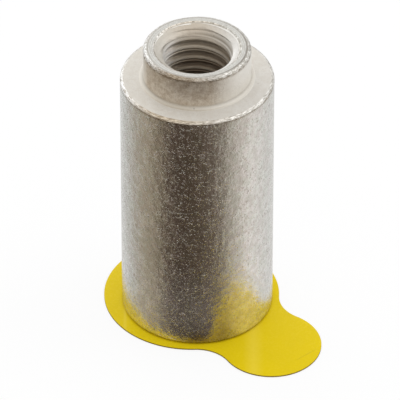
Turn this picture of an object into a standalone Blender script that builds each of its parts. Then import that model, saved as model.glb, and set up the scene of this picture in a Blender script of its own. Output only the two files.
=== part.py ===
"""Threaded standoff for circuit boards, standing on its film pick-up patch.

A round steel body is turned with a shoulder and a short spigot, drilled through, countersunk
at both ends and tapped M3 x 0.5. A die-cut film patch with a peel tab is stuck to its flat
end. The origin is on the body's axis at the underside of the film, +Z runs up to the spigot,
and the peel tab points along +X. Lengths are in metres.
"""

from math import cos, pi, radians, sin, sqrt, tan

import bmesh
import bpy
from mathutils import Matrix, Vector

MM = 0.001

# Turned body
BODY_DIAMETER = 6.0 * MM
BODY_LENGTH = 11.0 * MM
SPIGOT_DIAMETER = 4.2 * MM
SPIGOT_LENGTH = 1.4 * MM
SHOULDER_EDGE_RADIUS = 0.15 * MM
SPIGOT_RIM_RADIUS = 0.16 * MM
ROOT_FILLET_RADIUS = 0.16 * MM
BASE_EDGE_CHAMFER = 0.12 * MM

# Tapped bore, with a 60 degree thread profile
THREAD_DIAMETER = 3.0 * MM
THREAD_PITCH = 0.5 * MM
THREAD_DEPTH = 0.2 * MM
THREAD_START_ANGLE = radians(-78)
FLANK_HALF_ANGLE = radians(30)
COUNTERSINK_MARGIN = 0.175 * MM
COUNTERSINK_HALF_ANGLE = radians(45)

# Film patch: a disc larger than the body all round, and a tab past the disc's edge
FILM_THICKNESS = 0.065 * MM
FILM_SEAT_GAP = 0.01 * MM
PATCH_MARGIN = 0.5 * MM
PATCH_SET_BACK = 0.32 * MM
TAB_DIAMETER = 4.0 * MM
TAB_CENTRE_PAST_DISC = 0.97 * MM
TAB_FILLET_RADIUS = 1.45 * MM

# How finely round forms are divided
BODY_SIDES = 72
THREAD_SIDES = 36
PATCH_SIDES = 96
ROUNDING_STEPS = 4
SPARE_TURNS = 2
SHARP_ANGLE = radians(30)
WELD_DISTANCE = 0.001 * MM

# Colours are linear
TINNED_STEEL = (0.58, 0.56, 0.52)
YELLOW_FILM = (0.72, 0.56, 0.02)


def clear_scene():
    for item in list(bpy.data.objects):
        bpy.data.objects.remove(item, do_unlink=True)


def make_material(name, colour, metallic, roughness):
    material = bpy.data.materials.new(name)
    material.use_nodes = True
    shader = material.node_tree.nodes["Principled BSDF"]
    shader.inputs["Base Color"].default_value = (*colour, 1.0)
    shader.inputs["Metallic"].default_value = metallic
    shader.inputs["Roughness"].default_value = roughness
    return material


def make_object(name, shape, material=None):
    """Turn a finished bmesh into an object, smooth apart from its real edges."""
    mesh = bpy.data.meshes.new(name)
    shape.to_mesh(mesh)
    shape.free()
    mesh.shade_smooth()
    mesh.set_sharp_from_angle(angle=SHARP_ANGLE)
    item = bpy.data.objects.new(name, mesh)
    bpy.context.collection.objects.link(item)
    if material:
        mesh.materials.append(material)
    return item


def arc(centre, radius, start, end, steps=ROUNDING_STEPS):
    """Points of an arc from one angle to another, both ends included."""
    angles = [start + (end - start) * step / steps for step in range(steps + 1)]
    return [(centre[0] + radius * cos(a), centre[1] + radius * sin(a)) for a in angles]


def turned_profile():
    """Half section of the body before tapping, as (radius, height) from its flat end.

    It starts at the tip of the spigot's countersink on the axis, runs out and down the
    outside, and ends at the tip of the flat end's countersink on the axis.
    """
    body = BODY_DIAMETER / 2
    spigot = SPIGOT_DIAMETER / 2
    mouth = THREAD_DIAMETER / 2 + COUNTERSINK_MARGIN
    top = BODY_LENGTH + SPIGOT_LENGTH
    depth = mouth / tan(COUNTERSINK_HALF_ANGLE)
    rim_radius = min(SPIGOT_RIM_RADIUS, (spigot - mouth) / 2)
    rim = (spigot - rim_radius, top - rim_radius)
    root = (spigot + ROOT_FILLET_RADIUS, BODY_LENGTH + ROOT_FILLET_RADIUS)
    edge = (body - SHOULDER_EDGE_RADIUS, BODY_LENGTH - SHOULDER_EDGE_RADIUS)
    points = [(0, top - depth), (mouth, top)]
    points += arc(rim, rim_radius, pi / 2, 0)
    points += arc(root, ROOT_FILLET_RADIUS, pi, 1.5 * pi)
    points += arc(edge, SHOULDER_EDGE_RADIUS, pi / 2, 0)
    points += [(body, BASE_EDGE_CHAMFER), (body - BASE_EDGE_CHAMFER, 0)]
    points += [(mouth, 0), (0, depth)]
    return points


def turn(profile, sides):
    """Spin a half section about the Z axis into one closed shape."""
    shape = bmesh.new()
    corners = [shape.verts.new((radius, 0, height)) for radius, height in profile]
    edges = [shape.edges.new(pair) for pair in zip(corners, corners[1:])]
    bmesh.ops.spin(shape, geom=corners + edges, cent=(0, 0, 0), axis=(0, 0, 1),
                   angle=2 * pi, steps=sides)
    bmesh.ops.remove_doubles(shape, verts=shape.verts, dist=WELD_DISTANCE)
    bmesh.ops.recalc_face_normals(shape, faces=shape.faces)
    return shape


def thread_profile():
    """One pitch of the tap's outline: the bore's wall, then the groove's two flanks and root."""
    major = THREAD_DIAMETER / 2
    bore = major - THREAD_DEPTH
    root_flat = THREAD_PITCH / 8
    flank = THREAD_DEPTH * tan(FLANK_HALF_ANGLE)
    land = THREAD_PITCH - root_flat - 2 * flank
    return [(bore, 0), (bore, land), (major, land + flank),
            (major, land + flank + root_flat), (bore, THREAD_PITCH)]


def close_end(shape, edges, height):
    """Close an open end of the tap with a fan to one point on the axis."""
    ring = bmesh.ops.extrude_edge_only(shape, edges=edges)["geom"]
    corners = [item for item in ring if isinstance(item, bmesh.types.BMVert)]
    bmesh.ops.pointmerge(shape, verts=corners, merge_co=(0, 0, height))


def tap_shape():
    """Right-hand tap that cuts the bore and its thread, longer than the part at both ends."""
    turns = int((BODY_LENGTH + SPIGOT_LENGTH) / THREAD_PITCH) + 2 * SPARE_TURNS
    start = -SPARE_TURNS * THREAD_PITCH
    shape = bmesh.new()
    corners = [shape.verts.new((radius, 0, start + height)) for radius, height in thread_profile()]
    edges = [shape.edges.new(pair) for pair in zip(corners, corners[1:])]
    bmesh.ops.spin(shape, geom=corners + edges, cent=(0, 0, 0), axis=(0, 0, 1),
                   dvec=(0, 0, THREAD_PITCH / THREAD_SIDES), angle=2 * pi * turns,
                   steps=THREAD_SIDES * turns)
    bmesh.ops.remove_doubles(shape, verts=shape.verts, dist=WELD_DISTANCE)
    middle = start + THREAD_PITCH * (turns + 1) / 2
    open_edges = [edge for edge in shape.edges if edge.is_boundary]
    lower = [edge for edge in open_edges if edge.verts[0].co.z < middle]
    upper = [edge for edge in open_edges if edge.verts[0].co.z > middle]
    close_end(shape, lower, start - THREAD_PITCH)
    close_end(shape, upper, start + THREAD_PITCH * (turns + 2))
    bmesh.ops.rotate(shape, verts=shape.verts, cent=(0, 0, 0),
                     matrix=Matrix.Rotation(THREAD_START_ANGLE, 3, "Z"))
    bmesh.ops.recalc_face_normals(shape, faces=shape.faces)
    return shape


def cut(item, cutter):
    """Take a cutter's shape out of an item and hide the cutter."""
    modifier = item.modifiers.new("Cut", "BOOLEAN")
    modifier.operation = "DIFFERENCE"
    modifier.solver = "EXACT"
    modifier.object = cutter
    cutter.hide_render = True
    cutter.display_type = "WIRE"


def make_standoff(seat_height):
    """The tapped body, standing on its flat end."""
    steel = make_material("tinned_steel", TINNED_STEEL, metallic=1.0, roughness=0.38)
    body = make_object("standoff_body", turn(turned_profile(), BODY_SIDES), steel)
    tap = make_object("tap_cutter", tap_shape())
    body.location.z = seat_height
    tap.parent = body
    cut(body, tap)
    return body


def patch_outline():
    """Outline of the film patch: a disc and a round tab joined by two concave fillets."""
    disc = BODY_DIAMETER / 2 + PATCH_MARGIN
    tab = TAB_DIAMETER / 2
    spacing = disc + TAB_CENTRE_PAST_DISC
    disc_centre = Vector((-PATCH_SET_BACK, 0))
    tab_centre = disc_centre + Vector((spacing, 0))
    to_disc = disc + TAB_FILLET_RADIUS
    to_tab = tab + TAB_FILLET_RADIUS
    along = (spacing ** 2 + to_disc ** 2 - to_tab ** 2) / (2 * spacing)
    fillet_centre = disc_centre + Vector((along, sqrt(to_disc ** 2 - along ** 2)))
    from_disc = (fillet_centre - disc_centre).angle_signed(Vector((1, 0)))
    from_tab = (fillet_centre - tab_centre).angle_signed(Vector((1, 0)))
    step = 2 * pi / PATCH_SIDES

    def stretch(centre, radius, start, end):
        return arc(centre, radius, start, end, steps=max(2, round(abs(end - start) / step)))

    points = stretch(tab_centre, tab, -from_tab, from_tab)
    points += stretch(fillet_centre, TAB_FILLET_RADIUS, from_tab - pi, from_disc - pi)[1:]
    points += stretch(disc_centre, disc, from_disc, 2 * pi - from_disc)[1:]
    mirrored = Vector((fillet_centre.x, -fillet_centre.y))
    points += stretch(mirrored, TAB_FILLET_RADIUS, pi - from_disc, pi - from_tab)[1:-1]
    return points


def make_patch():
    """The die-cut film, flat on the ground with its tab along +X."""
    film = make_material("yellow_film", YELLOW_FILM, metallic=0.0, roughness=0.3)
    shape = bmesh.new()
    face = shape.faces.new([shape.verts.new((x, y, 0)) for x, y in patch_outline()])
    raised = bmesh.ops.extrude_face_region(shape, geom=[face])["geom"]
    corners = [item for item in raised if isinstance(item, bmesh.types.BMVert)]
    bmesh.ops.translate(shape, verts=corners, vec=(0, 0, FILM_THICKNESS))
    bmesh.ops.recalc_face_normals(shape, faces=shape.faces)
    return make_object("pickup_patch", shape, film)


def main():
    clear_scene()
    make_patch()
    make_standoff(FILM_THICKNESS + FILM_SEAT_GAP)


main()
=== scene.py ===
"""Looks of the threaded standoff: matte tin plate on turned steel, on a yellow film patch.

Lengths are in millimetres up to the point where a mesh or an object is made. Heights are
counted from the standoff's flat end, or from the floor where a comment says so. Stretches
around the axis are in degrees from +X, where the peel tab is.
"""

from math import atan2, cos, pi, radians, sin, sqrt, tan
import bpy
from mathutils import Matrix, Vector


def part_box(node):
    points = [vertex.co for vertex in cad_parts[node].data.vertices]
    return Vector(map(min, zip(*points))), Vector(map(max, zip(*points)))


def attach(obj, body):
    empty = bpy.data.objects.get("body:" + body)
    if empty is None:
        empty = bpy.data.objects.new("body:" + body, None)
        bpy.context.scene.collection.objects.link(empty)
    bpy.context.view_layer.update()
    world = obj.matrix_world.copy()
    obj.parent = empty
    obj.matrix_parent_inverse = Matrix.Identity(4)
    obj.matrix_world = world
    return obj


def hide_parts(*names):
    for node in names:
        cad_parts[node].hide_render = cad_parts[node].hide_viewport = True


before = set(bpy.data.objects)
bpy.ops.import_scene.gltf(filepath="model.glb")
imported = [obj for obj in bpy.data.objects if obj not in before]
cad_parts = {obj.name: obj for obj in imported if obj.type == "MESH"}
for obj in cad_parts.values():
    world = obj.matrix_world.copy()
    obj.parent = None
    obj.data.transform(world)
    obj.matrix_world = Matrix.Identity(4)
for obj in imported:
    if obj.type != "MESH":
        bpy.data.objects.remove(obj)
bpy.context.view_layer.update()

from types import SimpleNamespace

import bpy
import numpy as np
from mathutils import Vector

MM = 0.001
SEED = 11

# The standoff: the frame's sizes, with the roundings a hair tighter, the chamfer at its base
# rounded and the mouth a hair wider
BODY_RADIUS = 3.0
BODY_LENGTH = 11.0
SPIGOT_RADIUS = 2.1
FULL_LENGTH = 12.4
SHOULDER_ROUNDING = 0.14
RIM_ROUNDING = 0.15
ROOT_FILLET = 0.16
BASE_ROUNDING = 0.12
MOUTH_RADIUS = 1.70
MOUTH_ROUNDING = 0.08
# How far the mouth's rounding reaches: along the flat rim, and down the cone with some to spare
MOUTH_SPARE = 0.03
MOUTH_FLAT = MOUTH_ROUNDING * tan(radians(22.5))
MOUTH_DROP = MOUTH_FLAT * cos(radians(45)) + MOUTH_SPARE

# The thread. It is pressed into the wall of a drilled hole, so metal rises beside each groove
THREAD_PITCH = 0.5
THREAD_MAJOR_RADIUS = 1.5
DRILL_RADIUS = 1.37
GROOVE_ROOT_HALF = 0.031
FLANK_SLOPE = tan(radians(30))
# Its groove passes this bearing at this height, and its grid runs on past both ends by some turns
GROOVE_ANGLE = radians(-78)
GROOVE_HEIGHT = 0.353
SPARE_TURNS = 2
# How far above and below a groove's middle the wall is read that the groove's edges lie in
GROOVE_BESIDE = 0.1
# Two lips meet in a seam between grooves. Each is given by distances past its groove's edge with
# the share of the full rise there. The full rise is a share of the groove's depth in the wall
LIP_SHARE = 0.50
LOWER_LIP = ((0.0, 1.0), (0.008, 0.90), (0.018, 0.50), (0.030, 0.0))
UPPER_LIP = ((0.0, 0.45), (0.035, 0.78), (0.075, 0.94), (0.118, 1.0), (0.150, 0.0))
SEAM_HALF = 0.003
# Near the mouth the lips don't meet: from this height of its groove a lower lip grows wider, and
# one pitch further up an upper lip grows narrower
WIDE_LIP_FROM = 11.40
WIDE_LIP_WITHIN = 0.15
WIDE_LIP_GAIN = 4.2
NARROW_LIP_LOSS = 0.65

# Darkening in the bore, as a share of the strongest: across a groove by the distance past its
# edge, and across a seam by the share of the lip's width
GROOVE_DARKENING = ((-0.120, 0.10), (-0.034, 1.0), (0.0, 0.45), (0.02, 0.0))
SEAM_WIDTH = ((0.7, 0.0), (1.0, 1.0))
# The mesh has a row of points this far inside a groove's edge, where the darkening is strongest
DARKEST_ROW = 0.034
# A lip counts as begun from this distance before the groove's edge
LIP_FROM = -0.001
# The darkening by depth below the rim: in grooves, seams, lower lips, and the valley at the mouth
GROOVE_DOWN = ((0.28, 0.0), (0.37, 0.60), (0.42, 0.85), (0.62, 0.88), (1.20, 1.0))
SEAM_DOWN = ((0.65, 0.0), (0.85, 0.40))
LIP_DOWN = ((0.65, 0.0), (0.95, 0.25))
VALLEY_DOWN = ((0.27, 0.0), (0.31, 0.50), (0.36, 0.50), (0.46, 0.0))
# Painted highlight on the crests of the upper lips: past the groove's edge, and from what depth on
CREST = (0.020, 0.125)
CREST_DOWN = 0.6
# Painted shade in the bore, darker with depth: from where, how soon, and the share outside
# its shaded stretch. Then the least that marks the threaded wall, and the share left on the crests
SHADE_FROM = 0.28
SHADE_WITHIN = 1.4
SHADE_ROUND = 0.15
SHADE_LEAST = 0.02
CREST_SHADE = 0.44
# The material takes a point as inside the bore from this much painted shade on
INSIDE_FROM = 0.01
# Outside that stretch the thread gets painted light, from this depth on
THREAD_LIGHT_DOWN = ((0.38, 0.0), (0.44, 1.0))
THREAD_LIGHT_GAIN = 1.4

# Knocks along each edge: how many, their spread, the range of half widths, and the depth. Those
# of the foot lie a little inside its corner, and those of the spigot at a height above its root
RIM_KNOCKS = (200, 0.05, (0.05, 0.26), 0.015)
SHOULDER_KNOCKS = (200, 0.045, (0.05, 0.28), 0.010)
FOOT_KNOCKS = (60, 0.04, (0.05, 0.15), 0.010)
SPIGOT_KNOCKS = (10, 0.3, (0.05, 0.10), 0.012)
FOOT_KNOCK_INSET = 0.03
SPIGOT_KNOCK_RISE = 0.8
# A knock's half height: the least, and the range of its share of the half width. Then the range
# of its depth before it is squared, and how far inside a rounding's corner the knocks lie
KNOCK_LEAST = 0.02
KNOCK_TALL = (0.06, 0.25)
KNOCK_DEEP = (0.3, 1.0)
KNOCK_INSET = 0.35
# One larger nick and one smudge: bearing, radius and height, half width, half height, strength
NICK = (radians(-53.2), (SPIGOT_RADIUS, 12.17), 0.06, 0.07, 0.030)
SMUDGE = (radians(-55.4), (SPIGOT_RADIUS, 12.06), 0.13, 0.16, 0.8)
# Brown lines under the two edges: radius, height and half width. Then the dark line at the foot,
# painted shade where the body meets the film: how high it goes, and its strength
EDGE_LINES = ((BODY_RADIUS, BODY_LENGTH - SHOULDER_ROUNDING + 0.01, 0.035),
               (SPIGOT_RADIUS, FULL_LENGTH - RIM_ROUNDING + 0.01, 0.055))
BASE_SHADE_HEIGHT = 0.12
BASE_SHADE = 0.5
# How fast a knock burnishes and stains with its depth, and an edge burnishes with its slope
KNOCK_BURNISH = 30
KNOCK_STAIN = 12
EDGE_BURNISH = 4
# Rows this near the spigot's root, outwards and upwards, are its fillet and aren't burnished
ROOT_REACH = (1.01 * ROOT_FILLET, 0.3)

# Stretches around the axis: middle and half width
# On the bore's wall: where it has painted shade, and where its grooves are darker
BORE_SHADE = (114, 66)
BORE_DARKER = (114, 85)
# On the worn edges: where they are brown and darker, partly as painted shade, and where they
# have a painted highlight
BROWNED_AND_SHADED = (-70, 38)
GLINT = (-124, 24)
# On the mouth: where its cone has painted light, with the rim's ring and the shoulder's top a
# little darker as painted shade, and where it is tinged brown
SIDE_SHADING = (25, 60)
WARM = (142, 42)
# On the body: where its foot has painted shade, the two places where its grain is rubbed
# smooth, and where the lowest part of the foot has painted shade
FOOT_SHADE = (-25.5, 12)
SMOOTH = (-14, 28)
SMOOTH_LEFT = (-105, 22)
SOLE_SHADE = (-44, 12)
# On the body: a patch where its pale film of oxide is thicker
PATCH = (-3, 20)

# Shares by height above the floor, on the body
FOOT_UP = ((0.5, 1.0), (4.4, 0.0))
SMOOTH_UP = ((0.5, 1.0), (4.4, 0.75), (9.0, 0.40))
SMOOTH_LEFT_SHARE = 0.8
HAZE_UP = ((2.0, 0.06), (4.2, 0.0))
PATCH_UP = ((0.3, 0.05), (0.9, 0.12), (3.0, 0.12), (4.0, 0.0))
SOLE_FROM = 0.1
SOLE_HEIGHT = 0.62
SOLE_SHARE = 1.3

# Heights above the floor at which the tin plate changes: the shoulder's top, and the spigot's
# side, rim and end
SHOULDER_AT = (10.98, 11.06)
SPIGOT_AT = (11.16, 11.26)
RIM_AT = (12.0, 12.1)
CROWN_AT = 12.46
# Radii on the spigot's end: a dark turned ring, a brown ring, and where the mouth ends
RIM_RING_RADIUS = 1.935
BROWN_RING_RADIUS = 1.665
RIM_FROM_RADIUS = 1.85

# The patch, as the frame has it
FILM_THICKNESS = 0.065
DISC_RADIUS = 3.5
DISC_SET_BACK = 0.32
TAB_RADIUS = 2.0
TAB_SPACING = 4.47
TAB_FILLET = 1.45
# Its cut edge from below to above: inset and height
FILM_EDGE = ((0.014, 0.0), (0.002, 0.008), (0.002, FILM_THICKNESS - 0.010),
             (0.006, FILM_THICKNESS - 0.003), (0.016, FILM_THICKNESS))
# Pale bands of painted highlight on the film: distance to the right of the axis, half width,
# and strength
FILM_SHEENS = ((-2.87, 0.10, 0.35), (2.22, 0.42, 0.32))
SHEEN_ANGLE = radians(-44.6)
# A short crease on the tab, with a darker line of painted shade: its middle, and how it leans
CREASE_X = 5.57
CREASE_Y = 0.5
CREASE_LEAN = 0.075
# How far the painted shade under the body's edge goes out on the film
SEAT_SHADE_REACH = 0.030
# A face of the film belongs to its cut edge where its normal rises or falls less than this
CUT_EDGE_NORMAL = 0.7

# The photograph's view of it
CAMERA_AZIMUTH = radians(-44.58)
CAMERA_ELEVATION = radians(38.04)
CAMERA_DISTANCE = 226.19
CAMERA_LENS = 517.2
CAMERA_TARGET_HEIGHT = 5.575
AIM_RIGHT = 0.110
AIM_DOWN = 0.476

# The studio. Lamps: name, azimuth from the camera's, elevation, size and power
FLOOR_HALF = 400.0
FLOOR_HEIGHT = -0.02
FLOOR_GREY = (0.86, 0.86, 0.86)
FLOOR_GLOW = 0.85
GEL_HALF = 150.0
GEL_HEIGHT = -0.01
LAMPS = (("softbox_left", -152, 32, 220, 0.12), ("softbox_right", 97, 44, 200, 0.13))
LAMP_DISTANCE = 320
LAMP_AIM_HEIGHT = 6
# The white tent: the elevation of its bright side behind the part, and its two levels of light
TENT_LEAN = radians(80)
TENT_DARK = 0.80
TENT_BRIGHT = 1.22
# How much light the smoked gel in front lets through, by direction from the camera's own
GEL_STOPS = ((-155, (0.80, 0.82, 0.83)), (-126, (0.57, 0.57, 0.55)), (-104, (0.45, 0.41, 0.34)),
             (-74, (0.36, 0.31, 0.23)), (-62, (0.28, 0.24, 0.18)), (-48, (0.12, 0.09, 0.07)),
             (-32, (0.07, 0.05, 0.04)), (-4, (0.08, 0.06, 0.04)), (24, (0.14, 0.11, 0.09)),
             (34, (0.18, 0.15, 0.12)), (48, (0.41, 0.38, 0.33)), (80, (0.80, 0.77, 0.74)),
             (96, (0.87, 0.86, 0.85)), (118, (0.76, 0.76, 0.75)), (150, (0.79, 0.80, 0.80)))
GEL_END = (0.85, 0.85, 0.85, 1)

# How finely the meshes are divided
BORE_COLUMNS = 160
OUTER_COLUMNS = 2 * BORE_COLUMNS
BASE_ROWS = 3
SIDE_ROWS = 28
ROUND_ROWS = 13
FILLET_ROWS = 8
LEDGE_ROWS = 8
SPIGOT_ROWS = 7
RIM_ROWS = 4
MOUTH_ROWS = 6
FINEST_STEP = 0.02
CROWDED_STEPS = (1, 2.2, 4, 7, 12)
PATCH_STEP = radians(1.5)
SHARP_ANGLE = radians(38)
# What counts as a face across the axis, and as a part of a rounding, by the normal
FLAT_NORMAL = 0.98
ROUND_NORMAL = 0.02

rng = np.random.default_rng(SEED)


# Small helpers


def ramp(value, points):
    """A value read off the line through some points, level beyond both ends."""
    return np.interp(value, *zip(*points))


def bearing(points):
    """The direction of each point from the axis."""
    return np.arctan2(points[:, 1], points[:, 0])


def bell(around, stretch, power=2):
    """1 in the middle of a stretch around the axis, fading out on both sides of it."""
    middle, width = stretch
    off = (around - radians(middle) + pi) % (2 * pi) - pi
    return np.exp(-(off / radians(width)) ** power)


def new_object(name, verts, faces):
    """A smooth-shaded object from points in millimetres."""
    mesh = bpy.data.meshes.new(name)
    faces = [[int(corner) for corner in face] for face in faces]
    mesh.from_pydata((np.asarray(verts) * MM).tolist(), [], faces)
    mesh.validate()
    mesh.shade_smooth()
    mesh.set_sharp_from_angle(angle=SHARP_ANGLE)
    item = bpy.data.objects.new(name, mesh)
    bpy.context.scene.collection.objects.link(item)
    return item


def paint(item, name, values, first=0):
    """Keep one number per point for the material to read, with 0 before the first point."""
    numbers = np.zeros(len(item.data.vertices), np.float32)
    numbers[first:first + values.size] = values.ravel()
    layer = item.data.attributes.new(name, "FLOAT", "POINT")
    layer.data.foreach_set("value", numbers)


# Mesh of the standoff's outside


def arc_rows(centre, radius, start, end, rows):
    """Rows of a rounding as radius, height and outward normal."""
    angles = np.radians(np.linspace(start, end, rows))
    return [(centre[0] + radius * cos(a), centre[1] + radius * sin(a), cos(a), sin(a))
            for a in angles]


def fillet_rows(centre, radius, start, end, rows):
    """Rows of a concave rounding, whose normals point to its centre."""
    return [(r, z, -nr, -nz) for r, z, nr, nz in arc_rows(centre, radius, start, end, rows)]


def line_rows(start, end, normal, shares):
    """Rows at the given shares of a straight stretch."""
    return [(start[0] + (end[0] - start[0]) * t, start[1] + (end[1] - start[1]) * t, *normal)
            for t in shares]


def even(rows):
    """Shares of a stretch, evenly spaced, without its two ends."""
    return np.linspace(0, 1, rows + 2)[1:-1]


def crowded(rows, length):
    """Shares of a stretch that crowd towards both of its ends."""
    near = np.array(CROWDED_STEPS) * FINEST_STEP / length
    return np.concatenate([near[:-1], np.linspace(near[-1], 1 - near[-1], rows), 1 - near[-2::-1]])


def outer_rows():
    """The outside between the two mouths: radius, height and normal of each row."""
    edge = (BODY_RADIUS - SHOULDER_ROUNDING, BODY_LENGTH - SHOULDER_ROUNDING)
    rim = (SPIGOT_RADIUS - RIM_ROUNDING, FULL_LENGTH - RIM_ROUNDING)
    root = (SPIGOT_RADIUS + ROOT_FILLET, BODY_LENGTH + ROOT_FILLET)
    base = (BODY_RADIUS - BASE_ROUNDING, BASE_ROUNDING)
    mouth = (MOUTH_RADIUS + MOUTH_FLAT, FULL_LENGTH - MOUTH_ROUNDING)
    down, out, up = (0, -1), (1, 0), (0, 1)
    rows = line_rows((MOUTH_RADIUS, 0), (base[0], 0), down, even(BASE_ROWS))
    rows += arc_rows(base, BASE_ROUNDING, -90, 0, FILLET_ROWS)
    rows += line_rows((BODY_RADIUS, base[1]), (BODY_RADIUS, edge[1]), out,
                      crowded(SIDE_ROWS, edge[1] - base[1]))
    rows += arc_rows(edge, SHOULDER_ROUNDING, 0, 90, ROUND_ROWS)
    rows += line_rows((edge[0], BODY_LENGTH), (root[0], BODY_LENGTH), up, even(LEDGE_ROWS))
    rows += fillet_rows(root, ROOT_FILLET, 270, 180, FILLET_ROWS)
    rows += line_rows((SPIGOT_RADIUS, root[1]), (SPIGOT_RADIUS, rim[1]), out,
                      crowded(SPIGOT_ROWS, rim[1] - root[1]))
    rows += arc_rows(rim, RIM_ROUNDING, 0, 90, ROUND_ROWS)
    rows += line_rows((rim[0], FULL_LENGTH), (mouth[0], FULL_LENGTH), up, even(RIM_ROWS))
    rows += arc_rows(mouth, MOUTH_ROUNDING, 90, 135, MOUTH_ROWS)
    return np.array(rows)


def dent(rows, angles, angle, at, wide, tall, deep):
    """One knock: how far each point is pushed in, by row and column."""
    around = (angles - angle + pi) % (2 * pi) - pi
    across = np.hypot(rows[:, 0] - at[0], rows[:, 1] - at[1])
    return deep * np.exp(-(across / tall)[:, None] ** 2 - (around * at[0] / wide)[None, :] ** 2)


def knocks(rows, angles, at, count, spread, widths, depth):
    """Small seeded knocks along one edge."""
    push = np.zeros((len(rows), len(angles)))
    for _ in range(count):
        wide = rng.uniform(*widths)
        place = (at[0] + rng.normal(0, spread), at[1] + rng.normal(0, spread))
        angle = rng.uniform(-pi, pi)
        tall = KNOCK_LEAST + wide * rng.uniform(*KNOCK_TALL)
        deep = depth * rng.uniform(*KNOCK_DEEP) ** 2
        push += dent(rows, angles, angle, place, wide, tall, deep)
    return push


def worn_outside(rows, angles):
    """Points of the outside with its knocks, and how far each point is pushed in."""
    rim = (SPIGOT_RADIUS - KNOCK_INSET * RIM_ROUNDING, FULL_LENGTH - KNOCK_INSET * RIM_ROUNDING)
    shoulder = (BODY_RADIUS - KNOCK_INSET * SHOULDER_ROUNDING,
                BODY_LENGTH - KNOCK_INSET * SHOULDER_ROUNDING)
    foot = (BODY_RADIUS - FOOT_KNOCK_INSET, FOOT_KNOCK_INSET)
    spigot = (SPIGOT_RADIUS, BODY_LENGTH + SPIGOT_KNOCK_RISE)
    push = knocks(rows, angles, rim, *RIM_KNOCKS)
    push += knocks(rows, angles, shoulder, *SHOULDER_KNOCKS)
    push += knocks(rows, angles, foot, *FOOT_KNOCKS)
    push += knocks(rows, angles, spigot, *SPIGOT_KNOCKS)
    push += dent(rows, angles, *NICK)
    radius = rows[:, :1] - push * np.clip(rows[:, 2:3], 0, 1)
    height = rows[:, 1:2] - push * np.clip(rows[:, 3:4], -1, 1)
    points = np.stack([radius * np.cos(angles), radius * np.sin(angles), height], axis=-1)
    return points, push


def worn_share(rows, push):
    """How burnished each point is: the outer roundings, and more in their knocks."""
    fillet = rows[:, 0] < SPIGOT_RADIUS + ROOT_REACH[0]
    fillet &= rows[:, 1] < BODY_LENGTH + ROOT_REACH[1]
    slope = np.minimum(np.abs(rows[:, 2]), rows[:, 3])
    rounded = (slope > ROUND_NORMAL) & ~fillet
    share = rounded * np.clip(EDGE_BURNISH * slope, 0, 1)
    return np.clip(share[:, None] + push * KNOCK_BURNISH * rounded[:, None], 0, 1)


def stain_and_shade_share(rows, push, angles):
    """Brown stains in knocks and one smudge, lines under the edges, and painted shade at the foot.
    """
    # The line at the foot is painted shade where the body meets the film
    lines = BASE_SHADE * np.exp(-(np.maximum(rows[:, 1], 0) / BASE_SHADE_HEIGHT) ** 2)
    for radius, height, size in EDGE_LINES:
        lines += np.exp(-(np.hypot(rows[:, 0] - radius, rows[:, 1] - height) / size) ** 2)
    return np.clip(lines[:, None] + push * KNOCK_STAIN + dent(rows, angles, *SMUDGE), 0, 1)


def outer_faces(grid, first_ring, last_ring):
    """Quads of the outside, and the five-sided cells that join it to the mouths' rings."""
    faces = []
    for lower, upper in zip(grid, grid[1:]):
        for c in range(OUTER_COLUMNS):
            n = (c + 1) % OUTER_COLUMNS
            faces.append((lower[c], lower[n], upper[n], upper[c]))
    low, high = grid[0], grid[-1]
    for c in range(BORE_COLUMNS):
        n = (c + 1) % BORE_COLUMNS
        faces.append((first_ring[c], first_ring[n], low[2 * n], low[2 * c + 1], low[2 * c]))
        faces.append((high[2 * c], high[2 * c + 1], high[2 * n], last_ring[n], last_ring[c]))
    return faces


# Mesh of the standoff's bore


def bore_wall(height):
    """Radius of the wall before it was threaded: the drilled hole and its two countersinks."""
    cone = np.maximum(MOUTH_RADIUS - (FULL_LENGTH - height), MOUTH_RADIUS - height)
    return np.maximum(DRILL_RADIUS, cone)


def groove_reach(wall):
    """Distance from a groove's middle to the inner corner of the lip beside it."""
    depth = np.clip(THREAD_MAJOR_RADIUS - wall, 0, None)
    return GROOVE_ROOT_HALF + depth * (1 + LIP_SHARE) * FLANK_SLOPE


def lip_scales(middle):
    """How wide the lips above and below a groove are: near the mouth they don't meet another's."""
    wide = np.clip((middle - WIDE_LIP_FROM) / WIDE_LIP_WITHIN, 0, 1)
    narrow = np.clip((middle - WIDE_LIP_FROM - THREAD_PITCH) / WIDE_LIP_WITHIN, 0, 1)
    return 1 + WIDE_LIP_GAIN * wide, 1 - NARROW_LIP_LOSS * narrow


def seam_above(middle):
    """Distance above a groove's middle of the seam where two lips meet."""
    reach = groove_reach(bore_wall(middle + GROOVE_BESIDE))
    return reach + LOWER_LIP[-1][0] * lip_scales(middle)[0] + SEAM_HALF


def bore_radius(above, middle):
    """Radius of the threaded wall, from the distance above the nearest groove's middle."""
    wall = bore_wall(middle + above)
    rise = LIP_SHARE * np.clip(THREAD_MAJOR_RADIUS - wall, 0, None)
    past = np.abs(above) - groove_reach(wall)
    wide, narrow = lip_scales(middle)
    lip = np.where(above > 0, ramp(past / wide, LOWER_LIP), ramp(past / narrow, UPPER_LIP))
    cut = THREAD_MAJOR_RADIUS - np.clip(np.abs(above) - GROOVE_ROOT_HALF, 0, None) / FLANK_SLOPE
    return np.maximum(cut, wall - rise * lip)


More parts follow.
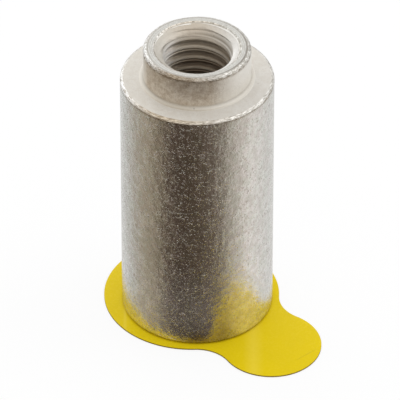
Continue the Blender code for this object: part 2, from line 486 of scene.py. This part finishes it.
def darkening_share(above, middle):
    """Share of darkening on the threaded wall, or -1 on a crest that has a painted highlight.

    Grooves, seams and lower lips are darker, and below the mouth's cone, where the first two lips
    don't meet, the valley between them.
    """
    height = middle + above
    down = FULL_LENGTH - height
    past = np.abs(above) - groove_reach(bore_wall(height))
    wide, narrow = lip_scales(middle)
    width = np.where(above > 0, LOWER_LIP[-1][0] * wide, UPPER_LIP[-1][0] * narrow)
    on_lip = past > LIP_FROM
    groove = ramp(past, GROOVE_DARKENING) * ramp(down, GROOVE_DOWN)
    seam = ramp(past / width, SEAM_WIDTH) * ramp(down, SEAM_DOWN)
    lip = (above > 0) * on_lip * ramp(down, LIP_DOWN)
    valley = (above < 0) * on_lip * ramp(down, VALLEY_DOWN)
    # A painted highlight on the crests: they get less of the bore's painted shade
    crest = (above < 0) & (past > CREST[0] * narrow) & (past < CREST[1] * narrow)
    grime = np.maximum.reduce([groove, seam, lip, valley])
    return np.where(crest & (down > CREST_DOWN), -1.0, grime)


def groove_steps(middle):
    """Distances above a groove's middle where the profile needs a row."""
    beside = np.array([middle - GROOVE_BESIDE, middle + GROOVE_BESIDE])
    below, above = groove_reach(bore_wall(beside))
    wide, narrow = lip_scales(middle)
    steps = [seam_above(middle - THREAD_PITCH) - THREAD_PITCH]
    steps += [-(below + past * narrow) for past, _ in reversed(UPPER_LIP)]
    steps += [-max(below - DARKEST_ROW, GROOVE_ROOT_HALF), -GROOVE_ROOT_HALF]
    steps += [GROOVE_ROOT_HALF, max(above - DARKEST_ROW, GROOVE_ROOT_HALF)]
    steps += [above + past * wide for past, _ in LOWER_LIP]
    return np.array(steps)


def bore_mesh(first_ring, last_ring):
    """Spiral grid of the threaded wall, joined to the rings of its two mouths, and its darkening.
    """
    start = GROOVE_HEIGHT - SPARE_TURNS * THREAD_PITCH
    turns = int(FULL_LENGTH / THREAD_PITCH) + 2 * SPARE_TURNS
    points, index, grime = [], [], []
    for k in range(BORE_COLUMNS * turns + 1):
        column = k % BORE_COLUMNS
        angle = GROOVE_ANGLE + 2 * pi * column / BORE_COLUMNS
        middle = start + THREAD_PITCH * k / BORE_COLUMNS
        steps = groove_steps(middle)
        row = []
        rows = zip(middle + steps, bore_radius(steps, middle), darkening_share(steps, middle))
        for height, radius, share in rows:
            if height <= 0:
                row.append(first_ring[column])
            elif height >= FULL_LENGTH - MOUTH_DROP:
                row.append(last_ring[column])
            else:
                row.append(len(points))
                points.append((radius * cos(angle), radius * sin(angle), height))
                grime.append(share)
        index.append(row)
    return np.array(points), index, np.array(grime)


def bore_faces(index):
    """Faces between neighbouring columns of the spiral, each up to the next turn's first row."""
    faces = []
    for k in range(len(index) - BORE_COLUMNS - 1):
        near = index[k] + [index[k + BORE_COLUMNS][0]]
        far = index[k + 1] + [index[k + 1 + BORE_COLUMNS][0]]
        for j in range(len(near) - 1):
            corners = list(dict.fromkeys((near[j], near[j + 1], far[j + 1], far[j])))
            if len(corners) > 2:
                faces.append(corners)
    return faces


def ring_points(radius, height):
    """One ring of points on the bore's columns."""
    angles = GROOVE_ANGLE + 2 * pi * np.arange(BORE_COLUMNS) / BORE_COLUMNS
    return np.stack([radius * np.cos(angles), radius * np.sin(angles),
                     np.full(BORE_COLUMNS, height)], axis=-1)


# The whole standoff


def build_standoff():
    """One closed shape: the worn outside, two mouth rings and the threaded bore."""
    angles = GROOVE_ANGLE + 2 * pi * np.arange(OUTER_COLUMNS) / OUTER_COLUMNS
    rows = outer_rows()
    outside, push = worn_outside(rows, angles)
    grid = np.arange(push.size).reshape(push.shape)
    rings = push.size + np.arange(2 * BORE_COLUMNS).reshape(2, BORE_COLUMNS)
    start = push.size + rings.size
    wall, index, grime = bore_mesh(rings[0] - start, rings[1] - start)
    index = [[start + corner for corner in row] for row in index]
    mouths = [ring_points(MOUTH_RADIUS, 0),
              ring_points(MOUTH_RADIUS - MOUTH_DROP, FULL_LENGTH - MOUTH_DROP)]
    verts = np.concatenate([outside.reshape(-1, 3), *mouths, wall])
    verts[:, 2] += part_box("standoff_body")[0].z / MM
    item = new_object("standoff", verts, outer_faces(grid, *rings) + bore_faces(index))
    paint_outside(item, rows, push, angles)
    thread_light = paint_bore(item, wall, grime, start)
    paint_stretches(item, verts, thread_light, start)
    return item


def paint_outside(item, rows, push, angles):
    """Masks of the outside: worn edges, stains and painted shade, and faces across the axis."""
    flat = (np.abs(rows[:, 3]) > FLAT_NORMAL)[:, None] + 0 * push
    paint(item, "edge", worn_share(rows, push))
    paint(item, "stain", stain_and_shade_share(rows, push, angles))
    paint(item, "flat", flat)


def paint_bore(item, wall, grime, start):
    """Masks of the threaded wall: painted shade, and darker grooves. Gives where it gets painted
    light.
    """
    around, down = bearing(wall), FULL_LENGTH - wall[:, 2]
    # Painted shade, growing with depth and strongest on the far wall
    dark = bell(around, BORE_SHADE, power=4)
    dull = (down - SHADE_FROM) / SHADE_WITHIN * np.maximum(dark, SHADE_ROUND)
    dull = np.clip(dull, SHADE_LEAST, 1) * np.where(grime < 0, CREST_SHADE, 1)
    paint(item, "bore", dull, start)
    paint(item, "grime", np.clip(grime, 0, 1) * bell(around, BORE_DARKER, power=4), start)
    # Painted light on the thread outside the shaded stretch
    return ramp(down, THREAD_LIGHT_DOWN) * np.clip(THREAD_LIGHT_GAIN * (1 - dark), 0, 1)


def paint_stretches(item, verts, thread_light, start):
    """Masks that hold for a stretch around the axis, over the heights or radii where it counts."""
    around, up = bearing(verts), verts[:, 2]
    # Painted light and shade on one side of the mouth, and painted light on the thread
    fair = bell(around, SIDE_SHADING)
    fair[start:] = np.maximum(fair[start:], thread_light)
    mouth = np.hypot(verts[:, 0], verts[:, 1]) < RIM_FROM_RADIUS
    low = ramp(up, FOOT_UP)
    smooth = bell(around, SMOOTH) * ramp(up, SMOOTH_UP)
    smooth_left = SMOOTH_LEFT_SHARE * low * bell(around, SMOOTH_LEFT)
    # Painted shade on the lowest part of the foot, where it meets the film
    sole = SOLE_SHARE * np.exp(-(np.maximum(up - SOLE_FROM, 0) / SOLE_HEIGHT) ** 2)
    # Edges brown and darker at the front, partly as painted shade
    paint(item, "browned", bell(around, BROWNED_AND_SHADED))
    # A painted highlight on the left edges
    paint(item, "glint", bell(around, GLINT))
    paint(item, "fair", fair)
    paint(item, "warm", bell(around, WARM) * mouth)
    # Painted shade on the foot
    paint(item, "foot", bell(around, FOOT_SHADE) * low)
    paint(item, "smooth", smooth + smooth_left)
    paint(item, "sole", np.clip(bell(around, SOLE_SHADE) * sole, 0, 1))
    paint(item, "haze", ramp(up, HAZE_UP) + bell(around, PATCH) * ramp(up, PATCH_UP))


# Mesh of the patch


def circle_points(centre, radius, start, end):
    """Points along a part of a circle, with both of its ends."""
    count = max(2, int(round(abs(end - start) / PATCH_STEP)))
    angles = np.linspace(start, end, count + 1)
    return [(centre[0] + radius * cos(a), centre[1] + radius * sin(a)) for a in angles]


def patch_outline(inset):
    """The film's outline, anticlockwise from the tab, shrunk by an inset."""
    disc_at = (-DISC_SET_BACK, 0.0)
    tab_at = (TAB_SPACING - DISC_SET_BACK, 0.0)
    disc, tab, fillet = DISC_RADIUS - inset, TAB_RADIUS - inset, TAB_FILLET + inset
    to_disc, to_tab = disc + fillet, tab + fillet
    along = (TAB_SPACING ** 2 + to_disc ** 2 - to_tab ** 2) / (2 * TAB_SPACING)
    side = sqrt(to_disc ** 2 - along ** 2)
    middle = (disc_at[0] + along, side)
    from_disc = atan2(side, along)
    from_tab = atan2(side, middle[0] - tab_at[0])
    points = circle_points(tab_at, tab, -from_tab, from_tab)
    points += circle_points(middle, fillet, from_tab - pi, from_disc - pi)[1:]
    points += circle_points(disc_at, disc, from_disc, 2 * pi - from_disc)[1:]
    points += circle_points((middle[0], -side), fillet, pi - from_disc, pi - from_tab)[1:-1]
    return points


def build_patch():
    """The film, with a soft arris above and below its cut edge."""
    outlines = [patch_outline(inset) for inset, _ in FILM_EDGE]
    count = len(outlines[0])
    verts = [(x, y, height) for outline, (_, height) in zip(outlines, FILM_EDGE)
             for x, y in outline]
    faces = [range(count - 1, -1, -1)]
    for level in range(len(FILM_EDGE) - 1):
        low, high = level * count, (level + 1) * count
        for c in range(count):
            n = (c + 1) % count
            faces.append((low + c, low + n, high + n, high + c))
    faces.append(range(len(verts) - count, len(verts)))
    return new_object("film_patch", verts, faces)


# Node helpers


def add(tree, kind, **values):
    """A new node. Values go to its settings, or to the inputs with those names or numbers."""
    item = tree.nodes.new("ShaderNode" + kind)
    for key, value in values.items():
        if key.startswith("in") and key[2:].isdigit():
            put(tree, item.inputs[int(key[2:])], value)
        elif hasattr(item, key):
            setattr(item, key, value)
        else:
            put(tree, item.inputs[key.replace("_", " ")], value)
    return item


def put(tree, socket, value):
    """Link a socket or a node's first output, or set a value. Colours come without alpha."""
    if isinstance(value, bpy.types.NodeSocket):
        tree.links.new(value, socket)
    elif isinstance(value, bpy.types.Node):
        tree.links.new(value.outputs[0], socket)
    elif socket.type == "RGBA":
        socket.default_value = (*value, 1)
    else:
        socket.default_value = value


def calc(tree, operation, first, second=0.0, clamp=False):
    return add(tree, "Math", operation=operation, in0=first, in1=second, use_clamp=clamp)


def product(tree, first, *others):
    for other in others:
        first = calc(tree, "MULTIPLY", first, other)
    return first


def largest(tree, first, *others):
    for other in others:
        first = calc(tree, "MAXIMUM", first, other)
    return first


def total(tree, first, *others):
    """Weighted sum of (value, weight) pairs."""
    result = product(tree, *first)
    for pair in others:
        result = calc(tree, "ADD", result, product(tree, *pair))
    return result


def inverse(tree, value):
    return calc(tree, "SUBTRACT", 1.0, value)


def distance(tree, x, y):
    """Distance from the axis."""
    return calc(tree, "SQRT", calc(tree, "ADD", product(tree, x, x), product(tree, y, y)))


def remap(tree, value, low, high, to_low=0.0, to_high=1.0):
    return add(tree, "MapRange", clamp=True, in0=value, in1=low, in2=high, in3=to_low, in4=to_high)


def band(tree, value, middle, full, none, share=1.0):
    """A share within one distance of a middle value, fading to 0 at another distance."""
    off = calc(tree, "ABSOLUTE", calc(tree, "SUBTRACT", value, middle))
    return remap(tree, off, full, none, share, 0.0)


def noise(tree, where, scale, detail=2.0, rough=0.5, warp=0.0):
    return add(tree, "TexNoise", Vector=where, Scale=scale, Detail=detail, Roughness=rough,
               Distortion=warp).outputs["Fac"]


def squiggles(tree, where, scale, width, warp=1.0):
    """Thin wandering lines: 1 where a warped noise crosses its middle."""
    return band(tree, noise(tree, where, scale, 1.0, 0.5, warp), 0.5, 0.0, width)


def mix_colour(tree, factor, first, second, blend="MIX"):
    return add(tree, "Mix", data_type="RGBA", blend_type=blend, in0=factor, in6=first,
               in7=second).outputs[2]


def tint(tree, factor, tone, colour):
    """A tone multiplied by a colour, as far as the factor says."""
    return mix_colour(tree, factor, tone, colour, "MULTIPLY")


def mix_value(tree, factor, first, second):
    return add(tree, "Mix", in0=factor, in2=first, in3=second).outputs[0]


def millimetres(tree):
    """Coordinates on the object, one unit to the millimetre."""
    return add(tree, "Mapping", Vector=add(tree, "TexCoord").outputs["Object"],
               Scale=(1 / MM,) * 3).outputs[0]


def new_material(name):
    material = bpy.data.materials.new(name)
    material.use_nodes = True
    return material, material.node_tree, material.node_tree.nodes["Principled BSDF"]


def plain_material(name):
    """A material without any node yet."""
    material = bpy.data.materials.new(name)
    material.use_nodes = True
    material.node_tree.nodes.clear()
    return material, material.node_tree


# Tin plate


def tin_masks(tree):
    """The painted masks, and the zones that follow from heights and radii."""
    names = ("edge", "stain", "flat", "bore", "grime", "browned", "glint", "fair", "warm", "foot",
             "smooth", "sole", "haze")
    tin = SimpleNamespace(**{name: add(tree, "Attribute", attribute_name=name).outputs["Fac"]
                             for name in names})
    tin.where = millimetres(tree)
    tin.x, tin.y, tin.height = add(tree, "SeparateXYZ", in0=tin.where).outputs
    tin.across = distance(tree, tin.x, tin.y)
    tin.faced = remap(tree, tin.height, *SHOULDER_AT)
    tin.spigot = remap(tree, tin.height, *SPIGOT_AT)
    tin.rim = remap(tree, tin.height, *RIM_AT)
    tin.crown = calc(tree, "GREATER_THAN", tin.height, CROWN_AT)
    tin.shoulder = product(tree, tin.faced, inverse(tree, tin.spigot))
    tin.ledge = product(tree, tin.flat, tin.shoulder)
    tin.corner = calc(tree, "SUBTRACT", tin.shoulder, tin.ledge, clamp=True)
    # The bore's painted shade also marks what is inside the bore
    tin.inside = calc(tree, "GREATER_THAN", tin.bore, INSIDE_FROM)
    tin.cone = product(tree, tin.inside, remap(tree, tin.bore, 0.03, 0.10, 1.0, 0.0))
    return tin


def tin_texture(tree, tin):
    """Noises that the plating's tone, roughness and relief share."""
    where = tin.where
    tin.clusters = noise(tree, where, 2.2, 3.0, 0.6)
    tin.crowd = remap(tree, tin.clusters, 0.40, 0.62)
    tin.mottle = noise(tree, where, 4.5, 2.0, 0.55)
    tin.grain = noise(tree, where, 8.0, 4.0, 0.7, 0.8)
    tin.dust = noise(tree, where, 18.0, 2.0, 0.6)
    tin.lines = squiggles(tree, where, 6.0, 0.04)
    holes = add(tree, "TexVoronoi", Vector=where, Scale=2.6, Randomness=1.0).outputs["Distance"]
    tin.pit = product(tree, remap(tree, holes, 0.03, 0.10, 1.0, 0.0),
                      calc(tree, "GREATER_THAN", noise(tree, where, 1.7, 1.0), 0.55))
    # Noise that is stretched along the edges: it changes slowly along them and fast across them
    streaks = add(tree, "CombineXYZ",
                  in0=product(tree, calc(tree, "DIVIDE", tin.x, tin.across), 13.0),
                  in1=product(tree, calc(tree, "DIVIDE", tin.y, tin.across), 13.0),
                  in2=product(tree, calc(tree, "SUBTRACT", tin.height, tin.across), 20.0))
    tin.dashes = remap(tree, noise(tree, streaks, 1.0, 3.0, 0.65), 0.40, 0.60)
    tin.chips = remap(tree, total(tree, (tin.dashes, 0.55), (tin.dust, 0.45)), 0.25, 0.75)
    # A painted highlight on the outer edges at the left
    shine = product(tree, tin.glint, calc(tree, "GREATER_THAN", tin.across, RIM_FROM_RADIUS))
    tin.shine = product(tree, shine, remap(tree, tin.chips, 0.1, 0.4))


def plate_tone(tree, tin):
    """The body's plating: mottled and a little tinged, with painted shade at the foot."""
    parts = total(tree, (tin.mottle, 0.5), (tin.clusters, 0.4), (tin.grain, 0.10))
    tone = mix_colour(tree, remap(tree, parts, 0.42, 0.58), (0.690, 0.664, 0.615),
                      (0.840, 0.822, 0.780))
    tinge = remap(tree, noise(tree, tin.where, 3.6, 2.0, 0.6), 0.38, 0.62)
    tinge = mix_colour(tree, tinge, (1.015, 0.985, 1.0), (0.985, 1.005, 0.99))
    tone = tint(tree, 1.0, tone, tinge)
    # Painted shade on the foot, and darker still on its lowest part
    tone = tint(tree, tin.foot, tone, (0.50, 0.465, 0.56))
    return mix_colour(tree, product(tree, tin.sole, 0.92), tone, (0.300, 0.245, 0.190))


def faced_tone(tree, tin, tone):
    """Shoulder's top and corner, spigot's side: brown at the front, partly as painted shade."""
    patchy = total(tree, (tin.mottle, 0.4), (tin.clusters, 0.3), (tin.dust, 0.3))
    patchy = remap(tree, patchy, 0.40, 0.60)
    side = mix_colour(tree, patchy, (0.570, 0.480, 0.380), (0.800, 0.735, 0.645))
    # The spigot's side is brown and darker at the front, partly as painted shade
    side = mix_colour(tree, remap(tree, tin.browned, 0.0, 0.35), (0.930, 0.910, 0.865), side)
    ledge = mix_colour(tree, patchy, (0.635, 0.600, 0.540), (0.690, 0.665, 0.615))
    # Painted shade: the shoulder's top is a little darker on one side
    ledge = tint(tree, tin.fair, ledge, (0.90, 0.90, 0.91))
    # The corner at the spigot's root is darker: painted shade in the corner
    corner = mix_colour(tree, tin.browned, (0.680, 0.650, 0.595), (0.600, 0.550, 0.470))
    tone = mix_colour(tree, tin.faced, tone, side)
    tone = mix_colour(tree, tin.ledge, tone, ledge)
    return mix_colour(tree, tin.corner, tone, corner)


def crown_tone(tree, tin, tone):
    """The spigot's end: fine turned rings, with a dark one at the rounding."""
    stretched = add(tree, "CombineXYZ", in0=product(tree, tin.across, 26.0),
                    in1=noise(tree, tin.where, 1.2, 1.0))
    faint = remap(tree, noise(tree, stretched, 1.0, 2.0, 0.6), 0.45, 0.65)
    tin.ring = band(tree, tin.across, RIM_RING_RADIUS, 0.015, 0.06)
    rings = total(tree, (tin.ring, 0.45), (faint, 0.5))
    end = mix_colour(tree, rings, (0.620, 0.615, 0.585), (0.340, 0.315, 0.275))
    soil = remap(tree, total(tree, (tin.dust, 0.6), (tin.grain, 0.4)), 0.46, 0.64, 0.0, 0.5)
    end = mix_colour(tree, soil, end, (0.400, 0.370, 0.325))
    return mix_colour(tree, tin.crown, tone, end)


def cone_tone(tree, tin, tone):
    """The mouth's cone and the start of the bore, before the painted shade that grows with depth.
    """
    cone = mix_colour(tree, remap(tree, tin.grain, 0.35, 0.65), (0.830, 0.815, 0.780),
                      (0.900, 0.890, 0.865))
    # Painted shade: the cone is darker away from one side
    cone = tint(tree, inverse(tree, tin.fair), cone, (0.680, 0.655, 0.610))
    cone = tint(tree, tin.warm, cone, (1.0, 0.925, 0.845))
    return mix_colour(tree, tin.inside, tone, cone)


def spotted_tone(tree, tin, tone):
    """Brown pits, and dark flecks that crowd together, weaker above the body and in the bore."""
    tone = mix_colour(tree, product(tree, tin.pit, 0.6), tone, (0.240, 0.200, 0.160))
    flecks = remap(tree, noise(tree, tin.where, 11.0, 1.0), 0.58, 0.70)
    weak = remap(tree, largest(tree, tin.faced, tin.inside), 0.0, 1.0, 1.0, 0.15)
    return tint(tree, product(tree, flecks, tin.crowd, weak), tone, (0.58, 0.54, 0.50))


def worn_tone(tree, tin, tone):
    """The worn edges: bright, or tan and darker as partly painted shade, and the spigot end's
    rings.
    """
    bright = mix_colour(tree, tin.chips, (0.360, 0.340, 0.295), (0.820, 0.805, 0.765))
    # Brown and darker at the front, partly as painted shade
    browned = mix_colour(tree, tin.chips, (0.230, 0.165, 0.100), (0.660, 0.570, 0.440))
    browned = tint(tree, tin.rim, browned, (0.66, 0.64, 0.62))
    worn = mix_colour(tree, tin.browned, bright, browned)
    worn = tint(tree, tin.warm, worn, (1.0, 0.935, 0.855))
    # A painted highlight on the outer edges at the left
    worn = mix_colour(tree, tin.shine, worn, (0.970, 0.965, 0.945))
    tone = mix_colour(tree, product(tree, tin.edge, 0.9), tone, worn)
    brown_ring = product(tree, band(tree, tin.across, BROWN_RING_RADIUS, 0.015, 0.03),
                         remap(tree, tin.warm, 0.2, 0.5))
    tone = tint(tree, brown_ring, tone, (0.740, 0.700, 0.650))
    # Painted shade: the rim's dark ring is darker still on one side
    return tint(tree, product(tree, tin.ring, tin.rim, tin.fair), tone, (0.62, 0.60, 0.58))


def stained_and_shaded_tone(tree, tin, tone):
    """Brown stains, and the painted shade at the foot, broken up by the dashes."""
    brown = mix_colour(tree, remap(tree, tin.dust, 0.4, 0.6), (0.160, 0.105, 0.060),
                       (0.420, 0.320, 0.210))
    share = product(tree, tin.stain, remap(tree, tin.dashes, 0.0, 1.0, 0.7, 0.2))
    return mix_colour(tree, share, tone, brown)


def bore_tone(tree, tin, tone):
    """The bore: painted shade, darker and browner with depth, and its darker grooves."""
    # Painted shade, darker and browner with depth
    tone = mix_colour(tree, remap(tree, tin.bore, 0.05, 0.34), tone, (0.520, 0.450, 0.360))
    tone = mix_colour(tree, remap(tree, tin.bore, 0.30, 1.0), tone, (0.260, 0.195, 0.135))
    return tint(tree, tin.grime, tone, (0.205, 0.170, 0.120))


def tin_metallic(tree, tin):
    """Less metallic where the plating is matt, and under its film of oxide."""
    # The painted highlight on the left edges is also less metallic
    matt = largest(tree, tin.ledge, tin.cone, product(tree, tin.edge, tin.shine),
                   product(tree, tin.inside, 0.7))
    return calc(tree, "SUBTRACT", remap(tree, matt, 0.0, 1.0, 1.0, 0.35), tin.haze)


def tin_roughness(tree, tin):
    """Roughness of the grain, and of each zone that has its own."""
    rough = total(tree, (tin.grain, 0.5), (tin.lines, 0.25), (tin.dust, 0.3))
    rough = remap(tree, rough, 0.3, 0.75, 0.13, 0.34)
    for mask, value in ((tin.faced, 0.50), (tin.ledge, 0.60), (tin.corner, 0.65), (tin.edge, 0.30),
                        (tin.inside, 0.40), (tin.cone, 0.55)):
        rough = mix_value(tree, mask, rough, value)
    return rough


def tin_relief(tree, tin):
    """The crystal grain with its specks, dashes, scratches and pits. It is calmer on the
    shoulder, in the bore and where it is rubbed, and the worn edges have small nicks."""
    where = tin.where
    cells = add(tree, "TexVoronoi", Vector=where, Scale=9.0, Randomness=1.0)
    chosen = add(tree, "SeparateColor", in0=cells.outputs["Color"]).outputs[0]
    dome = remap(tree, cells.outputs["Distance"], 0.05, 0.26, 1.0, 0.0)
    speck = product(tree, dome, calc(tree, "GREATER_THAN", chosen, 0.55), tin.crowd)
    dashed = product(tree, tin.lines, remap(tree, noise(tree, where, 9.5, 1.0), 0.48, 0.58))
    fine = product(tree, tin.dust, remap(tree, tin.crowd, 0.0, 1.0, 0.12, 0.42))
    scratches = squiggles(tree, where, 0.9, 0.010, 1.5)
    relief = total(tree, (tin.grain, 0.44), (tin.mottle, 0.54), (dashed, 0.22), (fine, 1.05),
                   (speck, 0.50), (tin.clusters, 0.80), (scratches, 0.10), (tin.pit, -0.6))
    calm = remap(tree, largest(tree, tin.shoulder, tin.inside), 0.0, 1.0, 1.0, 0.35)
    smooth = remap(tree, tin.smooth, 0.0, 0.8, 1.0, 0.45)
    nicks = product(tree, total(tree, (tin.dashes, 0.2), (tin.dust, 0.25)), tin.edge)
    height = calc(tree, "ADD", product(tree, relief, calm, smooth), nicks)
    return add(tree, "Bump", Strength=1.0, Distance=0.028 * MM, Height=height)


def tin_material():
    """Matte tin plate: a fine mottled grain, specks and pits, brown edges, painted light and shade.
    """
    material, tree, shader = new_material("matte_tin")
    tin = tin_masks(tree)
    tin_texture(tree, tin)
    tone = plate_tone(tree, tin)
    for layer in (faced_tone, crown_tone, cone_tone, spotted_tone, worn_tone, stained_and_shaded_tone,
                  bore_tone):
        tone = layer(tree, tin, tone)
    put(tree, shader.inputs["Base Color"], tone)
    put(tree, shader.inputs["Metallic"], tin_metallic(tree, tin))
    put(tree, shader.inputs["Roughness"], tin_roughness(tree, tin))
    put(tree, shader.inputs["Normal"], tin_relief(tree, tin))
    return material


# Film


def film_marks(tree, x, y):
    """The tab's crease, the painted shade under the body's edge, and the pale painted highlights.
    """
    lean = calc(tree, "SUBTRACT", x, product(tree, y, CREASE_LEAN))
    crease = product(tree, band(tree, lean, CREASE_X, 0.0, 0.035),
                     band(tree, y, CREASE_Y, 0.35, 0.6))
    # Painted shade on the film under the body's edge
    seat_shade = remap(tree, distance(tree, x, y), BODY_RADIUS, BODY_RADIUS + SEAT_SHADE_REACH, 0.25, 0.0)
    # Bands of painted highlight on the film
    sideways = calc(tree, "SUBTRACT", product(tree, y, cos(SHEEN_ANGLE)),
                    product(tree, x, sin(SHEEN_ANGLE)))
    sheens = [band(tree, sideways, middle, 0.0, half, share) for middle, half, share in FILM_SHEENS]
    return crease, seat_shade, sheens


def film_material():
    """Yellow adhesive film: smooth satin plastic, a crease, painted shade and faint painted
    highlights.
    """
    material, tree, shader = new_material("yellow_film")
    where = millimetres(tree)
    x, y, _ = add(tree, "SeparateXYZ", in0=where).outputs
    crease, seat_shade, sheens = film_marks(tree, x, y)
    clouds = noise(tree, where, 0.7, 3.0, 0.5)
    fine = noise(tree, where, 9.0, 3.0, 0.6)
    tone = mix_colour(tree, remap(tree, clouds, 0.3, 0.7), (0.735, 0.552, 0.005),
                      (0.705, 0.528, 0.006))
    tone = mix_colour(tree, remap(tree, fine, 0.35, 0.75, 0.0, 0.3), tone, (0.770, 0.590, 0.012))
    # Painted shade along the crease
    tone = mix_colour(tree, product(tree, crease, 0.5), tone, (0.520, 0.390, 0.010))
    # Painted shade under the body's edge
    tone = mix_colour(tree, seat_shade, tone, (0.360, 0.180, 0.008))
    # Bands of painted highlight
    for sheen in sheens:
        tone = mix_colour(tree, sheen, tone, (0.860, 0.680, 0.090))
    relief = total(tree, (clouds, 1.0), (fine, 0.08), (crease, 0.5))
    put(tree, shader.inputs["Base Color"], tone)
    put(tree, shader.inputs["Roughness"], remap(tree, fine, 0.3, 0.7, 0.20, 0.32))
    put(tree, shader.inputs["Specular IOR Level"], 0.06)
    put(tree, shader.inputs["Normal"],
        add(tree, "Bump", Strength=0.6, Distance=0.02 * MM, Height=relief))
    return material


def film_edge_material():
    """The film's cut edge, where its darker adhesive shows."""
    material, tree, shader = new_material("film_edge")
    streaks = noise(tree, millimetres(tree), 6.0, 3.0, 0.6)
    tone = mix_colour(tree, remap(tree, streaks, 0.35, 0.65), (0.150, 0.095, 0.006),
                      (0.250, 0.165, 0.008))
    put(tree, shader.inputs["Base Color"], tone)
    put(tree, shader.inputs["Roughness"], remap(tree, streaks, 0.3, 0.7, 0.5, 0.7))
    put(tree, shader.inputs["Specular IOR Level"], 0.2)
    return material


# Studio


def flat_square(name, half, height):
    return new_object(name, [(-half, -half, height), (half, -half, height), (half, half, height),
                             (-half, half, height)], [(0, 1, 2, 3)])


def build_floor():
    """A plain pale floor that keeps a soft shadow and reads as white."""
    item = flat_square("floor", FLOOR_HALF, FLOOR_HEIGHT)
    material, tree = plain_material("pale_floor")
    paths = add(tree, "LightPath").outputs
    seen = calc(tree, "ADD", paths["Is Camera Ray"], paths["Is Glossy Ray"], clamp=True)
    seen = calc(tree, "ADD", seen, paths["Is Transmission Ray"], clamp=True)
    lit = add(tree, "BsdfDiffuse", Color=FLOOR_GREY)
    white = add(tree, "Emission", Color=(1, 1, 1), Strength=1.0)
    mixed = add(tree, "MixShader", in0=product(tree, seen, FLOOR_GLOW), in1=lit, in2=white)
    put(tree, add(tree, "OutputMaterial").inputs["Surface"], mixed)
    item.data.materials.append(material)


def gel_direction(tree):
    """The direction in which the body reflects a place on the floor, from the camera's own."""
    x, y, _ = add(tree, "SeparateXYZ", in0=millimetres(tree)).outputs
    around = calc(tree, "SUBTRACT", calc(tree, "ARCTAN2", y, x), CAMERA_AZIMUTH)
    wrapped = add(tree, "Math", operation="WRAP", in0=around, in1=pi, in2=-pi)
    twice = product(tree, distance(tree, x, y), 2.0)
    widen = calc(tree, "DIVIDE", twice, calc(tree, "SUBTRACT", twice, BODY_RADIUS))
    return product(tree, wrapped, widen)


def build_gel():
    """A smoked gel on the floor in front, seen only in reflections. It makes the soft dark
    band that the dark side of a light tent leaves on round metal."""
    item = flat_square("smoked_gel", GEL_HALF, GEL_HEIGHT)
    material, tree = plain_material("smoked_gel")
    colours = add(tree, "ValToRGB", Fac=remap(tree, gel_direction(tree), -pi, pi))
    stops = colours.color_ramp.elements
    for end in (0, 1):
        stops[end].position, stops[end].color = end, GEL_END
    for degrees_off, colour in GEL_STOPS:
        stops.new(degrees_off / 360 + 0.5).color = (*colour, 1)
    put(tree, add(tree, "OutputMaterial").inputs["Surface"],
        add(tree, "BsdfTransparent", Color=colours))
    item.data.materials.append(material)
    item.visible_camera = False
    item.visible_diffuse = False
    item.visible_shadow = False


def direction(azimuth, elevation):
    return Vector((cos(elevation) * cos(azimuth), cos(elevation) * sin(azimuth), sin(elevation)))


def area_lamp(name, azimuth, elevation, size, power):
    """A soft square lamp that faces the part, placed by its direction."""
    data = bpy.data.lights.new(name, "AREA")
    data.shape = "SQUARE"
    data.size = size * MM
    data.energy = power
    item = bpy.data.objects.new(name, data)
    bpy.context.scene.collection.objects.link(item)
    out = direction(CAMERA_AZIMUTH + radians(azimuth), radians(elevation))
    item.location = (out * LAMP_DISTANCE + Vector((0, 0, LAMP_AIM_HEIGHT))) * MM
    item.rotation_euler = out.to_track_quat("Z", "Y").to_euler()


def build_world():
    """A white tent, a little brighter behind the part than in front of it."""
    world = bpy.data.worlds.new("studio")
    world.use_nodes = True
    bpy.context.scene.world = world
    tree = world.node_tree
    behind = direction(CAMERA_AZIMUTH + pi, TENT_LEAN)
    facing = add(tree, "VectorMath", operation="DOT_PRODUCT",
                 in0=add(tree, "TexCoord").outputs["Generated"], in1=behind).outputs["Value"]
    level = remap(tree, facing, 0.2, 0.97, TENT_DARK, TENT_BRIGHT)
    camera = add(tree, "LightPath").outputs["Is Camera Ray"]
    back = tree.nodes["Background"]
    put(tree, back.inputs["Strength"], mix_value(tree, camera, level, 1.0))
    put(tree, back.inputs["Color"], (1, 1, 1))


def build_camera():
    """The photograph's long lens, above and to the right of the tab's line."""
    data = bpy.data.cameras.new("camera")
    data.sensor_width = 36.0
    data.lens = CAMERA_LENS
    data.clip_start = 0.001
    data.clip_end = 20.0
    item = bpy.data.objects.new("camera", data)
    bpy.context.scene.collection.objects.link(item)
    out = direction(CAMERA_AZIMUTH, CAMERA_ELEVATION)
    right = direction(CAMERA_AZIMUTH + pi / 2, 0)
    target = Vector((0, 0, CAMERA_TARGET_HEIGHT))
    aim = target + AIM_RIGHT * right - AIM_DOWN * out.cross(right)
    place = target + CAMERA_DISTANCE * out
    item.location = place * MM
    item.rotation_euler = (place - aim).to_track_quat("Z", "Y").to_euler()
    bpy.context.scene.camera = item


def main():
    standoff = build_standoff()
    standoff.data.materials.append(tin_material())
    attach(standoff, "root")
    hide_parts("standoff_body")
    patch = build_patch()
    patch.data.materials.append(film_material())
    patch.data.materials.append(film_edge_material())
    for face in patch.data.polygons:
        face.material_index = 1 if abs(face.normal.z) < CUT_EDGE_NORMAL else 0
    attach(patch, "root")
    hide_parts("pickup_patch")
    build_floor()
    build_gel()
    build_world()
    for lamp in LAMPS:
        area_lamp(*lamp)
    build_camera()
    bpy.context.scene.view_settings.view_transform = "Standard"


main()
